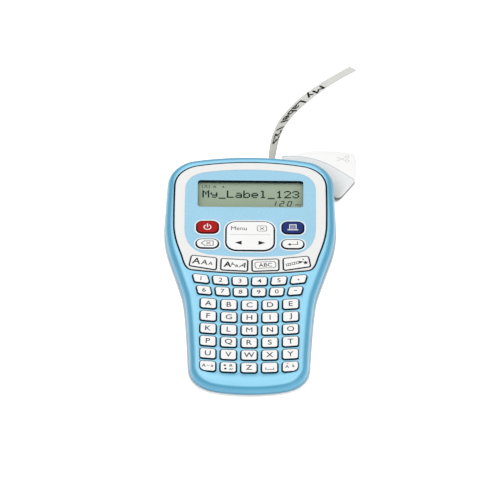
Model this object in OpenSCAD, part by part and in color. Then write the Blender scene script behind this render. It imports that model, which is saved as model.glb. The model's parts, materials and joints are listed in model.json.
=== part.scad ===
// Hand-held label maker: keyboard, display, tape cassette, drive, cutter and printed tape.
// Lengths in millimetres. Row frame: the rest face lies on z = 0, +Y runs to the tape end.
// "Face frame": the same axes tilted about X, with z = 0 on the flat of the front face.

/* [Overall] */
// Tilt of the front face when the label maker lies on its back, degrees
face_tilt = 6; // [0:0.5:12]
// Height of the front face above the rest face, half way along
face_lift = 47.4; // [40:0.1:60]
// Points along each edge curve of the case outline
curve_steps = 5; // [3:1:10]

/* [Front case] */
// Thickness of the key plate
plate_t = 2; // [1.2:0.1:3]
// Depth of the blue side wall, face to seam
front_depth = 7.5; // [5:0.5:12]
// Wall thickness of both case halves
wall_t = 2; // [1.2:0.1:3]
// Gap between a key and its hole
key_gap = 0.35; // [0.2:0.05:0.6]
// Depth of the groove the display ring is set in
ring_groove = 0.8; // [0.4:0.1:1.2]
// Height of the display ring above the plate
ring_rise = 0.4; // [0:0.1:1.5]

/* [Keys] */
// Height of a key top above the plate
key_rise = 0.8; // [0.6:0.1:3]
// Width of the lip that holds a key under the plate
key_lip = 0.5; // [0.3:0.1:1]
// Letter key size across and along
letter_size = [10.5, 9.3];
// Distance between letter keys across and between rows
letter_pitch = [12.9, 11.1];
// Height of the first letter row on the face
letter_first_y = -35.8; // [-45:0.1:-30]
// Drop of the middle key of a row below its outer keys
letter_smile = 1.35; // [0:0.05:2]

/* [Rear case] */
// Width of the rim that shows outside the front case
rim_out = 1; // [0:0.1:3]
// Height of the joint between rear case and back cover
cover_joint = 8; // [5:0.5:15]
// How far the rear case tapers in on its way to the back cover
rear_taper = 4.5; // [0:0.5:10]
// Extra taper of the rear case along the waist
waist_taper = 4.5; // [0:0.5:6]
// Slope of the rear case's keyboard end, length over height
end_slope = 1.36; // [0:0.02:1.5]
// Top of the inner deck in the face frame
deck_z = -11.5; // [-14:0.1:-11]

/* [Drive and cutter] */
// Sideways place of the tape path
tape_x = 13.6; // [10:0.1:18]
// Tape width
tape_w = 12; // [6:1:12]
// Platen roller radius
platen_r = 4; // [3:0.1:5]
// Gear module
gear_m = 0.6; // [0.4:0.1:0.8]
// Place of the lever pivot on the face
pivot = [29, 92];
// Radius of the lever pivot pin
pivot_r = 2; // [1.5:0.1:3]

/* [Hidden] */
letters = "abcdefghijklmnopqrstuvwxyz";

ct = cos(face_tilt);
st = sin(face_tilt);
e = 0.02;

// ---------- curves ----------
function bez(p, t) = let (u = 1 - t)
    u*u*u*p[0] + 3*u*u*t*p[1] + 3*u*t*t*p[2] + t*t*t*p[3];
// A chain of cubic curves, each [p0, p1, p2, p3], sampled without its last point
function chain(c, n) = [for (p = c) for (k = [0:n - 1]) bez(p, k/n)];
// Closed loop from its right half, which runs from the top centre to the bottom centre
function both_sides(c, n) = let (h = chain(c, n), last = c[len(c) - 1][3])
    concat(h, [last], [for (i = [len(h) - 1:-1:1]) [-h[i].x, h[i].y]]);
// Loop moved in by d along its normals (loops run clockwise)
function inset(P, d) = let (n = len(P)) [for (i = [0:n - 1])
    let (a = P[(i + n - 1) % n], b = P[(i + 1) % n], t = (b - a)/norm(b - a))
    P[i] + d*[t.y, -t.x]];
// Face frame to row frame
function to_row(p) = [p.x, p.y*ct - p.z*st, p.y*st + p.z*ct + face_lift];

case_curves = [
    [[0, 101], [12, 101], [24, 99.8], [36, 97.3]],
    [[36, 97.3], [44, 95.7], [51.6, 88], [52.4, 78]],
    [[52.4, 78], [52.9, 68], [53.7, 52], [53.7, 40]],
    [[53.7, 40], [53.7, 30], [52.3, 20], [50.4, 12]],
    [[50.4, 12], [48.3, 3.6], [43.9, -12.3], [41.5, -23.3]],
    [[41.5, -23.3], [40.1, -31], [39.2, -45], [38.6, -56]],
    [[38.6, -56], [38.1, -66], [37.6, -76], [37.3, -86]],
    [[37.3, -86], [37, -95], [31.5, -101.5], [24, -104]],
    [[24, -104], [17, -106.2], [8, -107], [0, -107]]];
ring_outer = [
    [[0, 92.4], [11, 92.4], [22, 91.4], [33, 89]],
    [[33, 89], [41, 87.2], [46.8, 81], [47.3, 72]],
    [[47.3, 72], [47.6, 62], [47.7, 48], [47.6, 36]],
    [[47.6, 36], [47.4, 26], [45, 17], [42.6, 9]],
    [[42.6, 9], [41.2, 3], [40.2, -3.8], [35.8, -3.9]],
    [[35.8, -3.9], [24, -5.7], [12, -6.6], [0, -6.6]]];
ring_inner = [
    [[0, 86.2], [10, 86.2], [20, 85.4], [29, 83.5]],
    [[29, 83.5], [36, 82], [40.8, 77], [41.1, 69]],
    [[41.1, 69], [41.3, 58], [41.3, 46], [41.3, 34]],
    [[41.3, 34], [41.3, 22], [38, 12.5], [27, 9.6]],
    [[27, 9.6], [18, 8.2], [9, 7.6], [0, 7.6]]];

P = both_sides(case_curves, curve_steps);
RO = both_sides(ring_outer, 6);
RI = both_sides(ring_inner, 6);
NP = len(P);

// ---------- building blocks ----------
module face() { translate([0, 0, face_lift]) rotate([face_tilt, 0, 0]) children(); }
// A bar of plate between two heights of the face frame
module slab(z0, z1) { translate([0, 0, z0]) linear_extrude(z1 - z0) children(); }
// Rounded rectangle
module rr(w, h, r) { polygon(rounded(quad(0, 0, w, h), even(r), 0)); }
module box(a, b) { translate(a) cube(b - a); }
module pin(x, y, r, z0, z1, n = 40) {
    translate([x, y, z0]) cylinder(r = r, h = z1 - z0, $fn = n);
}
// Skin through closed rings of points: a tube closed on itself, or capped at both ends.
// Squares of column "turned" are split along their other diagonal.
module skin(R, capped, turned = -1) {
    m = len(R); n = len(R[0]);
    quads = [for (k = [0:(capped ? m - 2 : m - 1)]) for (i = [0:n - 1])
        let (k2 = (k + 1) % m, j = (i + 1) % n, a = k*n + i, b = k*n + j,
             c = k2*n + j, d = k2*n + i)
            each i == turned ? [[a, b, d], [b, c, d]] : [[a, b, c], [a, c, d]]];
    caps = capped ? [[for (i = [n - 1:-1:0]) i], [for (i = [0:n - 1]) (m - 1)*n + i]] : [];
    polyhedron([for (r = R) each r], concat(quads, caps), convexity = 10);
}
function flat_ring(d, z) = [for (p = inset(P, d)) [p.x, p.y, z]];
function row_ring(d, z) = [for (p = flat_ring(d, z)) to_row(p)];
// Rim of the rear case: it stands out along the narrow half and fades towards the wide half
function rim_ring(z) = let (Q = inset(P, -rim_out)) [for (i = [0:NP - 1])
    let (f = min(max((62 - P[i].y)/40, 0.2), 1), q = (1 - f)*P[i] + f*Q[i]) to_row([q.x, q.y, z])];
// The keyboard end of the rear case slopes in under the keys: share of the slope at y
function end_share(y) = min(max((-46 - y)/60, 0), 1);
function lowered(p, z) = [p.x, p.y + end_slope*(p.z - z)*end_share(p.y), z];
// Ring on the way down from the rim (s = 0) to the cover joint (s = 1)
function drop_ring(s, d0, extra) = [for (p = shell_ring(d0 + rear_taper*pow(s, 1.3) + extra, s))
    lowered(p, p.z + s*(cover_joint - p.z))];
function level_ring(d, z) = [for (p = shell_ring(d, 1)) lowered(p, z)];
// Ring of the rear shell: moved in by d, and by more along the waist further down
function waist(y) = min(max((y + 34)/24, 0), 1)*min(max((72 - y)/30, 0), 1);
function shell_ring(d, s) = let (Q = inset(P, 1)) [for (i = [0:NP - 1])
    let (q = P[i] + (d + waist_taper*s*waist(P[i].y))*(Q[i] - P[i])) to_row([q.x, q.y, -9.8])];

// ---------- keys: [name, four corners, corner radii, colour] ----------
// Corners run anticlockwise from the top right; lean is the side edges' slant, outwards at the top
white = [0.94, 0.95, 0.95];
function quad(x, y, w, h, slope = 0, lean = 0) = [for (c = [[1, 1], [-1, 1], [-1, -1], [1, -1]])
    [x + c.x*w/2 + lean*c.y*h/2, y + c.y*h/2 + slope*c.x*w/2]];
function mirrored(q) = [for (i = [1, 0, 3, 2]) [-q[i].x, q[i].y]];
size_quad = [[-20.7, 6.3], [-36.8, 8.6], [-38.4, -1.1], [-21, -4.9]];
font_quad = [[-1.2, 4.7], [-18.2, 5.9], [-18.4, -4.7], [-1.3, -5.8]];
function letter_key(name, row, col, radii) = let (x = (col - 2)*letter_pitch.x, u = x/25.8)
    [name, quad(x, letter_first_y - row*letter_pitch.y + letter_smile*u*u, letter_size.x,
        letter_size.y, 2*letter_smile*u/25.8), radii, white];
function number_row(name, xs, y0, bow, w, h) = [for (s = [-1, 1]) for (x = xs)
    [name, quad(s*x, y0 + bow*x*x, w, h, 2.4*bow*s*x, 0.0068*s*x), even(1.9), white]];
function even(r) = [r, r, r, r];
KEYS = concat(
    [["power_key", quad(-26.9, 34, 13.8, 11), even(3.8), [0.75, 0.03, 0.05]],
     ["print_key", quad(26.9, 34, 13.8, 11), even(3.8), [0.04, 0.14, 0.5]],
     ["backspace_key", quad(-26.9, 19.2, 14.2, 8.5), even(3.9), white],
     ["enter_key", quad(26.9, 19.2, 14.2, 8.5), even(3.9), white],
     ["navigation_key", quad(0, 26.2, 30.6, 26.4), even(7), white],
     ["size_key", size_quad, even(1.5), white],
     ["font_key", font_quad, even(1.5), white],
     ["frame_key", mirrored(font_quad), even(1.5), white],
     ["decoration_key", mirrored(size_quad), even(1.5), white]],
    number_row("number_keys_upper", [6.1, 18.3, 30.6], -14.4, 0.0022, 10.2, 8.1),
    number_row("number_keys_lower", [5.7, 17, 28.6], -24.2, 0.0019, 9.4, 8.1),
    [for (i = [0:24]) letter_key(str("key_", letters[i]), floor(i/5), i % 5, even(2))],
    [letter_key("key_z", 5, 2, even(2)), letter_key("shift_key", 5, 0, [2, 2, 4.4, 2]),
     letter_key("symbol_key", 5, 1, even(2)), letter_key("space_key", 5, 3, even(2)),
     letter_key("accent_key", 5, 4, [2, 2, 2, 4.4])]);

// Rounded convex polygon, grown by g, as true points
function rounded(q, radii, g, n = 4) = [for (i = [0:len(q) - 1])
    let (p = q[i], a = q[(i + len(q) - 1) % len(q)], b = q[(i + 1) % len(q)],
         u = (a - p)/norm(a - p), v = (b - p)/norm(b - p), m = u + v,
         half = acos(u*v)/2, c = p + m/norm(m)*radii[i]/sin(half),
         start = atan2(u.x, -u.y), turn = 180 - 2*half)
    for (k = [0:n]) let (t = start + turn*k/n) c + (radii[i] + g)*[cos(t), sin(t)]];
module key_shape(k, grow) { polygon(rounded(k[1], k[2], grow)); }
// One key cap: lip under the plate, cap through it, with a stepped pillow edge
module key(k) {
    color(k[3]) face() difference() {
        union() {
            slab(-3.2, -2.4) key_shape(k, key_lip);
            slab(-2.4 - e, key_rise - 0.4) key_shape(k, 0);
            slab(key_rise - 0.4 - e, key_rise) key_shape(k, -0.5);
        }
        if (k[0] == "navigation_key") box([-12.5, 26.7, key_rise - 0.35], [12.5, 27.2, key_rise + 1]);
    }
}

// ---------- case ----------
screw_at = [[-46.5, 78], [46.5, 60], [-44.6, 12], [44.6, 12], [-33.5, -62.8], [33.5, -62.8]];
board_post_at = [[-36, 40], [36, 40], [-36, -30], [36, -30], [-29, -88], [29, -88]];
// Part of the plan that the cutter lever sweeps
lever_bay = [[22.6, 79], [34, 79], [41, 69.4], [70, 69.4], [70, 120], [22.6, 120]];

module ring_2d(grow) {
    difference() { polygon(inset(RO, -grow)); polygon(inset(RI, grow)); }
}
module front_case() {
    color([0.47, 0.75, 0.86]) face() difference() {
        union() {
            skin([flat_ring(0, -front_depth), flat_ring(0, -5.6), flat_ring(0.5, -3.3),
                  flat_ring(1.8, -1.5), flat_ring(3.6, -0.45), flat_ring(6, 0),
                  flat_ring(6, -plate_t), flat_ring(4, -2.4), flat_ring(2.3, -4.2),
                  flat_ring(wall_t, -front_depth)], false);
            slab(-plate_t, 0) polygon(inset(P, 5.9));
            for (p = screw_at) pin(p.x, p.y, 2.2, deck_z, -plate_t + 0.5);
        }
        for (k = KEYS) slab(-plate_t - 1, 1) key_shape(k, key_gap);
        slab(-ring_groove, 1) ring_2d(0.1);
        translate([0, 64.7, 0]) slab(-plate_t - 1, 1) rr(66.6, 24, 2);
        for (p = screw_at) pin(p.x, p.y, 0.95, deck_z - 1, -plate_t - 0.6);
    }
}
module display_ring() {
    color([0.93, 0.94, 0.93]) face() difference() {
        slab(-ring_groove, ring_rise) ring_2d(0);
        for (k = KEYS) if (k[2][0] == 1.5) slab(-2, 2) key_shape(k, key_gap);
    }
}
module lcd_window() {
    color([0.75, 0.85, 0.75, 0.35]) face() {
        translate([0, 64.7, 0]) {
            slab(-plate_t - e, -0.9) rr(66.4, 23.8, 1.9);
            slab(-plate_t - 0.7, -plate_t) rr(70, 27.4, 2.5);
        }
    }
}
module lcd_module() {
    color([0.66, 0.75, 0.6]) face() translate([0, 64.7, 0]) {
        slab(-3.6, -plate_t - 0.8) rr(69, 26.4, 1);
        slab(-5.8, -3.6 + e) rr(76, 32, 1.5);
        for (s = [-1, 1]) for (t = [-1, 1]) pin(s*34, t*13.6, 1.2, -6.6, -5.8 + e, 20);
    }
}
module board_holes(grow) {
    for (p = screw_at) translate(p) circle(r = 2.2 + grow, $fn = 32);
}
module key_mat() {
    color([0.86, 0.87, 0.88]) face() {
        slab(-5.8, -4.8) difference() {
            intersection() { polygon(inset(P, 4.6)); translate([-60, -110]) square([120, 154]); }
            board_holes(0.5);
        }
        for (k = KEYS) if (k[0] != "navigation_key") let (m = (k[1][0] + k[1][1] + k[1][2] + k[1][3])/4)
            pin(m.x, m.y, 2.2, -4.8 - e, -4.3, 16);
        for (s = [-1, 1]) for (y = [19, 33]) pin(8*s, y, 2.2, -4.8 - e, -4.3, 16);
    }
}
module main_board() {
    color([0.1, 0.35, 0.2]) face() {
        slab(-7.4, -5.8) difference() {
            intersection() { polygon(inset(P, 4.4)); translate([-60, -110]) square([120, 196]); }
            board_holes(0.4);
            for (s = [-1, 1]) for (t = [-1, 1]) translate([s*34, 64.7 + t*13.6]) circle(r = 1.25, $fn = 20);
        }
        box([-12, 2, -8.8], [2, 16, -7.4 + e]);
        box([10, 4, -8.6], [18, 12, -7.4 + e]);
        box([-30, -20, -8.4], [-20, -14, -7.4 + e]);
        box([14, -30, -9.6], [22, -22, -7.4 + e]);
        for (p = [[-26, 30], [-18, 30], [26, 24]]) pin(p.x, p.y, 2.6, -10.9, -7.4 + e, 24);
    }
}
module rear_case() {
    color([0.9, 0.91, 0.91]) {
        difference() {
            skin([drop_ring(1, 0.2, 0), drop_ring(0.66, 0.2, 0), drop_ring(0.33, 0.2, 0),
                  drop_ring(0, 0.2, 0), rim_ring(-8.9), rim_ring(-front_depth),
                  row_ring(wall_t, -front_depth), drop_ring(0, 0.2, wall_t),
                  drop_ring(0.33, 0.2, wall_t), drop_ring(0.66, 0.2, wall_t),
                  drop_ring(1, 0.2, wall_t)], false);
            face() {
                slab(-23, -2) polygon([[22.6, 79], [70, 79], [70, 120], [22.6, 120]]);
                slab(-23, -2) polygon([[45, 69.4], [70, 69.4], [70, 90], [45, 90]]);
                box([tape_x - 0.7, 92, -33], [tape_x + 0.7, 110, -2]);
            }
        }
        face() {
            difference() {
                slab(deck_z - 1.5, deck_z) difference() {
                    polygon(inset(P, 1.4));
                    polygon(lever_bay);
                    translate([-60, -120]) square([120, 22.5]);
                    translate([tape_x - 0.7, 76]) square([1.4, 40]);
                    for (p = screw_at) translate(p) circle(r = 1.25, $fn = 24);
                }
            }
            for (p = board_post_at) pin(p.x, p.y, 2, deck_z - e, -7.4, 24);
            // shelf under the lever, with the pivot pin
            difference() {
                slab(-24.5, -23) intersection() {
                    polygon(inset(P, 2.4));
                    polygon([[25.4, 83], [33, 79], [40, 76.4], [45, 69.4], [70, 69.4], [70, 120], [25.4, 120]]);
                }
            }
            pin(pivot.x, pivot.y, pivot_r, -23 - e, -8.9);
            pin(pivot.x, pivot.y, 3.4, -23 - e, -22.6);
            // walls of the cassette bay and the battery bay
            box([-40, 20.4, -31], [40, 22, deck_z - 1]);
            box([-33, -4, -26], [33, -2.5, deck_z - 1]);
            box([-33, -58, -24], [33, -56.5, deck_z - 1]);
            // pivot pin of the idler gear and top bearing of the platen
            pin(-5.65, 80, 1, -18.6, deck_z - 1);
            pin(-5.65, 80, 2.2, -15.2, deck_z - 1);
            difference() {
                pin(9.4, 80, 2.6, -15.2, deck_z - 1);
                pin(9.4, 80, 1.25, -16, -13.4);
            }
            // lower bearing of the platen on its post
            box([4, 87.2, -34.7], [12.6, 89.7, deck_z - 1]);
            difference() {
                box([4, 75.4, -34.7], [12.6, 89.7, -33.2]);
                pin(9.4, 80, 1.25, -36, -32);
            }
            // cradle of the motor and rail of the blade carriage
            box([-26.1, 75, -31], [-24.6, 86.8, deck_z - 1]);
            box([-26.1, 85.3, -31], [-16.6, 86.8, deck_z - 1]);
            box([16, 91.1, -33], [22, 92.5, deck_z - 1]);
        }
    }
}
module back_cover() {
    j = cover_joint - 0.3;
    color([0.88, 0.89, 0.89]) difference() {
        skin([level_ring(9.5, 2), level_ring(7, 3.4), level_ring(6.8, 5),
              level_ring(0.2 + rear_taper + wall_t, j), level_ring(0.2 + rear_taper, j),
              level_ring(4.95, 5.2), level_ring(5.7, 2.8), level_ring(7.2, 1.1),
              level_ring(9.4, 0.2), level_ring(11.4, 0)], true);
        for (s = [-1, 1]) for (k = [0:4]) box([s*14 - 5, -40 + 4*k, -1], [s*14 + 5, -38.8 + 4*k, 0.6]);
    }
}

// ---------- cutter ----------
module cutter_lever() {
    color([0.94, 0.95, 0.95]) face() difference() {
        union() {
            slab(-22.2, -8.4) polygon([[24, 107.4], [28.4, 109.4], [33.3, 112.6], [38, 114], [50, 114],
                [55.3, 113.1], [64.7, 110.4], [66.6, 105], [67.1, 98.9], [66.9, 92], [66.2, 87.6],
                [55.3, 79.3], [47, 84.6], [38, 88.6], [33, 90], [25.6, 95], [25.4, 101], [23.6, 103]]);
            pin(pivot.x, pivot.y, 4.4, -22.2, -8.9);
            slab(-22.2, -14) polygon([[25.2, 92], [24.6, 85], [25.6, 82.4], [28, 82.2], [29.4, 84], [32.4, 90]]);
        }
        // near facet falls from the fold line towards the case, and rises again to the hub
        fold() intersection() {
            rotate([facet_slope, 0, 0]) translate([-20, -60, 0]) cube([80, 60, 40]);
            translate([2, 0, 0]) rotate([0, 45, 0]) translate([0, -60, 0]) cube([80, 61, 80]);
        }
        // hollow undersides
        fold() rotate([facet_slope, 0, 0]) translate([13, -60, -41.7]) cube([40, 60, 40]);
        slab(-30, -10.6) polygon([[34.5, 106], [36.5, 110.6], [50, 112], [62.6, 108.2], [64.6, 98.5],
            [64, 92.5], [57.5, 97.4], [46, 106.4]]);
        pin(pivot.x, pivot.y, pivot_r + 0.06, -30, 0);
    }
}
// Frame of the lever's fold line: X along it, +Y away from the case
facet_slope = 44.5;
module fold() { translate([43.4, 104.6, -8.4]) rotate([0, 0, -39.9]) children(); }
module cutter_blade() {
    color([0.75, 0.77, 0.79]) face() {
        box([16.8, 82.4, -32.4], [24.2, 86.2, -13.8]);
        box([16.8, 86.2 - e, -32.4], [24.2, 90.7, -20.6]);
        slab(-32.6, -19.4) polygon([[16, 85.9], [17.4, 85.6], [17.4, 86.2 + e], [16.2, 86.2]]);
    }
}

// ---------- tape drive ----------
function involute(rb, t) = let (a = t*180/PI) [rb*(cos(a) + t*sin(a)), rb*(sin(a) - t*cos(a))];
module gear(teeth, bore, phase) {
    rp = gear_m*teeth/2; rb = rp*cos(20); ra = rp + gear_m*0.92; rf = rp - gear_m*1.2;
    inv20 = (tan(20) - 20*PI/180)*180/PI;
    half = 90/teeth - 0.9 + inv20;
    tmax = sqrt(pow(ra/rb, 2) - 1);
    t0 = rf > rb ? sqrt(pow(rf/rb, 2) - 1) : 0;
    flank = [for (k = [0:5]) involute(rb, t0 + (tmax - t0)*k/5)];
    function turn(p, a) = [p.x*cos(a) - p.y*sin(a), p.x*sin(a) + p.y*cos(a)];
    difference() {
        polygon([for (i = [0:teeth - 1]) let (c = phase + 360*i/teeth) each concat(
            [turn([min(rf, rb), 0], c - half - 0.6)],
            [for (p = flank) turn(p, c - half)],
            [for (k = [5:-1:0]) turn([flank[k].x, -flank[k].y], c + half)],
            [turn([min(rf, rb), 0], c + half + 0.6)])]);
        circle(r = bore, $fn = 32);
    }
}
module platen_roller() {
    color([0.12, 0.12, 0.13]) face() translate([9.4, 80, 0]) {
        pin(0, 0, platen_r, -32, -20);
        pin(0, 0, 1.2, -34.6, -13.7);
        slab(-18, -15.5) gear(20, 1.1, 0);
    }
}
module idler_gear() {
    color([0.85, 0.85, 0.82]) face() translate([-5.65, 80, 0]) slab(-18, -15.5) gear(30, 1.06, 6);
}
module motor_pinion() {
    color([0.8, 0.7, 0.4]) face() translate([-18.3, 80, 0]) {
        slab(-18, -15.5) gear(12, 0.7, 0);
        pin(0, 0, 0.75, -21, -14.6);
    }
}
module drive_motor() {
    color([0.6, 0.62, 0.64]) face() difference() {
        union() {
            box([-24.3, 75, -34], [-12.3, 85, -19]);
            pin(-18.3, 80, 2.4, -19 - e, -18.6);
            pin(-18.3, 80, 2, -35, -34 + e);
        }
        pin(-18.3, 80, 0.81, -21.6, -18);
    }
}
module print_head() {
    color([0.7, 0.72, 0.74]) face() {
        box([15.6, 76, -33.6], [18.6, 82, -19]);
        box([16.7, 76, -19 - e], [18.6, 82, -13.02]);
        box([14.1, 77.4, -32.6], [15.6 + e, 82, -19.4]);
        translate([14.7, 80, -32.6]) cylinder(r = 0.8, h = 13.2, $fn = 24);
    }
}
module tape_cassette() {
    color([0.88, 0.88, 0.86]) face() difference() {
        union() {
            slab(-36.5, -19.5) polygon([[-41, 26], [-39, 24], [39, 24], [41, 26], [41, 66],
                [36.5, 73.8], [-39, 73.8], [-41, 71.8]]);
        }
        box([tape_x - 0.6, 57, -33], [tape_x + 0.6, 80, -19]);
        // spools seen from the back
        for (p = [[-20, 48], [24, 46]]) difference() {
            pin(p.x, p.y, 5, -37, -24);
            pin(p.x, p.y, 3.4, -38, -24);
        }
        box([-34, 26, -37], [34, 30, -36]);
    }
}
module batteries() {
    color([0.2, 0.22, 0.25]) face() for (i = [0:5]) translate([(i - 2.5)*10.6, -53, -19.5])
        rotate([-90, 0, 0]) {
            cylinder(r = 5.2, h = 43.6, $fn = 40);
            cylinder(r = 1.9, h = 44.5, $fn = 24);
        }
}
module case_screws() {
    color([0.6, 0.6, 0.62]) face() for (p = screw_at) {
        pin(p.x, p.y, 1.7, deck_z - 2.8, deck_z - 1.5, 24);
        pin(p.x, p.y, 0.95, deck_z - 1.5 - e, -3.6, 20);
    }
}

// ---------- printed tape ----------
// Centre line and width direction in the face frame, straight up to the exit and then curling
tape_line = [[13.6, 60, -26], [13.6, 104, -26]];
tape_curl = [[[13.6, 104, -26], [13.6, 122.7, -26], [12.6, 141.7, -24.9], [22.6, 158, -22.6]],
             [[22.6, 158, -22.6], [31.1, 171.5, -20.7], [44.9, 181.1, -15.5], [65, 192.6, -12]]];
// Roll of the tape about its own direction along its free part, degrees
roll_keys = [[0, 0], [0.17, 23], [0.33, 35], [0.5, 52], [0.67, 60], [1, 61]];
module label_tape() {
    n = 14; t = 0.1; h = tape_w/2;
    spine = concat([[tape_line[0], [0, 1, 0], 0], [tape_line[1], [0, 1, 0], 0]],
        [for (c = [0, 1]) for (k = [1:n]) let (u = k/n, p = tape_curl[c])
            [bez(p, u), bez(p, min(u + 0.02, 1)) - bez(p, u - 0.02), (c + u)/2]]);
    rings = [for (q = spine) let (d = q[1]/norm(q[1]), u = [0, 0, 1] - d.z*d, v = u/norm(u),
        a = lookup(q[2], roll_keys), w = cos(a)*v + sin(a)*cross(d, v), m = cross(w, d))
        [q[0] + h*w + t*m, q[0] + h*w - t*m, q[0] - h*w - t*m, q[0] - h*w + t*m]];
    color([0.86, 0.86, 0.84]) face() skin(rings, true, 1);
}

front_case();
display_ring();
lcd_window();
lcd_module();
key_mat();
main_board();
rear_case();
back_cover();
cutter_lever();
cutter_blade();
print_head();
platen_roller();
idler_gear();
motor_pinion();
drive_motor();
tape_cassette();
label_tape();
batteries();
case_screws();
for (k = KEYS) key(k);
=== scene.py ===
"""Looks of the hand-held label maker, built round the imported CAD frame."""
import json
import math

import bmesh
import bpy
from mathutils import Matrix, Vector
from mathutils.geometry import delaunay_2d_cdt


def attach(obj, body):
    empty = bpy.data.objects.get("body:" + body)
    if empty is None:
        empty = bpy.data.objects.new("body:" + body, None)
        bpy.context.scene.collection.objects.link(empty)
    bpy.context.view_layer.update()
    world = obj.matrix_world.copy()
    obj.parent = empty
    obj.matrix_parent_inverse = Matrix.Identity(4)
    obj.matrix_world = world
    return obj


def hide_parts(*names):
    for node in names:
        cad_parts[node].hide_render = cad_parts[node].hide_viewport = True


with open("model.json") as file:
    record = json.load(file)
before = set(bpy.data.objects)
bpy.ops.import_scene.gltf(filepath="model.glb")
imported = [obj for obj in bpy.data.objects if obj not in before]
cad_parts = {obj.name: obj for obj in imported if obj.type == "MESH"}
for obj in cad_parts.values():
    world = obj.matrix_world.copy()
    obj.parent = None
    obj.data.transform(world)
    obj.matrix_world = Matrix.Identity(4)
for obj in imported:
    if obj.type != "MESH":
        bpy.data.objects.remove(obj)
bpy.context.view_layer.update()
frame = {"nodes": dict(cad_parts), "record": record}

# The face frame of the CAD, in millimetres, carried to the row frame in metres
MM = 0.001
FACE_TILT = math.radians(6)
FACE_LIFT = 47.4
FACE = (Matrix.Translation((0, 0, FACE_LIFT*MM)) @ Matrix.Rotation(FACE_TILT, 4, "X")
        @ Matrix.Scale(MM, 4))
PLATE = 2.0        # thickness of the key plate
WALL = 2.0         # case wall
SEAM_Z = -7.5      # joint between the front and the rear case
KEY_TOP = 0.75     # key tops above the plate, at the rim of the face
KEY_GAP = 0.35     # gap round a key
KEY_LIP = 0.5      # lip that holds a key under the plate
RING_TOP = 0.4     # display ring above the plate
RING_FLOOR = -0.8  # bottom of the ring's groove
EDGE_W, EDGE_H = 6.0, 5.6  # rounding of the front case's rim


# ---------- materials ----------
def principled(name, color, rough, **sockets):
    """A new node material; returns it with its nodes, links and shader."""
    m = bpy.data.materials.new(name)
    m.use_nodes = True
    nodes, links = m.node_tree.nodes, m.node_tree.links
    shader = nodes["Principled BSDF"]
    shader.inputs["Base Color"].default_value = (*color, 1)
    shader.inputs["Roughness"].default_value = rough
    for key, value in sockets.items():
        shader.inputs[key.replace("_", " ")].default_value = value
    m.diffuse_color = (*color, 1)
    return m, nodes, links, shader


def moulded(name, color, rough=0.35, mottle=0.05, grain=900.0, bump=0.04, spread=0.08, **sockets):
    """Moulded plastic, rubber or metal: faint cloudy colour, fine surface grain, uneven gloss."""
    m, nodes, links, shader = principled(name, color, rough, **sockets)
    where = nodes.new("ShaderNodeTexCoord")
    cloud = nodes.new("ShaderNodeTexNoise")
    cloud.inputs["Scale"].default_value = 45
    cloud.inputs["Detail"].default_value = 4
    links.new(where.outputs["Object"], cloud.inputs["Vector"])
    ramp = nodes.new("ShaderNodeValToRGB")
    ramp.color_ramp.elements[0].position = 0.3
    ramp.color_ramp.elements[1].position = 0.7
    for stop, k in zip(ramp.color_ramp.elements, (1 - mottle, 1 + mottle)):
        stop.color = (*(min(c*k, 1) for c in color), 1)
    links.new(cloud.outputs["Fac"], ramp.inputs["Fac"])
    links.new(ramp.outputs["Color"], shader.inputs["Base Color"])
    fine = nodes.new("ShaderNodeTexNoise")
    fine.inputs["Scale"].default_value = grain
    fine.inputs["Detail"].default_value = 2
    links.new(where.outputs["Object"], fine.inputs["Vector"])
    gloss = nodes.new("ShaderNodeMapRange")
    gloss.inputs["To Min"].default_value = max(rough - spread, 0.02)
    gloss.inputs["To Max"].default_value = min(rough + spread, 1)
    links.new(fine.outputs["Fac"], gloss.inputs["Value"])
    links.new(gloss.outputs["Result"], shader.inputs["Roughness"])
    relief = nodes.new("ShaderNodeBump")
    relief.inputs["Strength"].default_value = bump
    relief.inputs["Distance"].default_value = 0.0002
    links.new(fine.outputs["Fac"], relief.inputs["Height"])
    links.new(relief.outputs["Normal"], shader.inputs["Normal"])
    return m


def multiply(material, colour, tint, share=1.0):
    """Makes a material's base colour the product of two sockets."""
    nodes, links = material.node_tree.nodes, material.node_tree.links
    mix = nodes.new("ShaderNodeMix")
    mix.data_type = "RGBA"
    mix.blend_type = "MULTIPLY"
    mix.inputs["Factor"].default_value = share
    links.new(colour, mix.inputs["A"])
    links.new(tint, mix.inputs["B"])
    links.new(mix.outputs["Result"], nodes["Principled BSDF"].inputs["Base Color"])


def paint_side_shade(material, deep, middle):
    """Painted shade: deepens a material's colour where its surface turns to the sides or to the far end.
    """
    lean = FACE_TILT + math.radians(20)
    nodes, links = material.node_tree.nodes, material.node_tree.links
    shader = nodes["Principled BSDF"]
    old = shader.inputs["Base Color"].links[0].from_socket
    where = nodes.new("ShaderNodeNewGeometry")
    dot = nodes.new("ShaderNodeVectorMath")
    dot.operation = "DOT_PRODUCT"
    dot.inputs[1].default_value = (0, -math.sin(lean), math.cos(lean))
    links.new(where.outputs["Normal"], dot.inputs[0])
    ramp = nodes.new("ShaderNodeValToRGB")
    ramp.color_ramp.elements[0].position = 0.45
    ramp.color_ramp.elements[0].color = (*deep, 1)
    ramp.color_ramp.elements[1].position = 0.93
    ramp.color_ramp.elements[1].color = (1, 1, 1, 1)
    ramp.color_ramp.elements.new(0.84).color = (*middle, 1)
    links.new(dot.outputs["Value"], ramp.inputs["Fac"])
    multiply(material, old, ramp.outputs["Color"])
    return material


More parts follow.
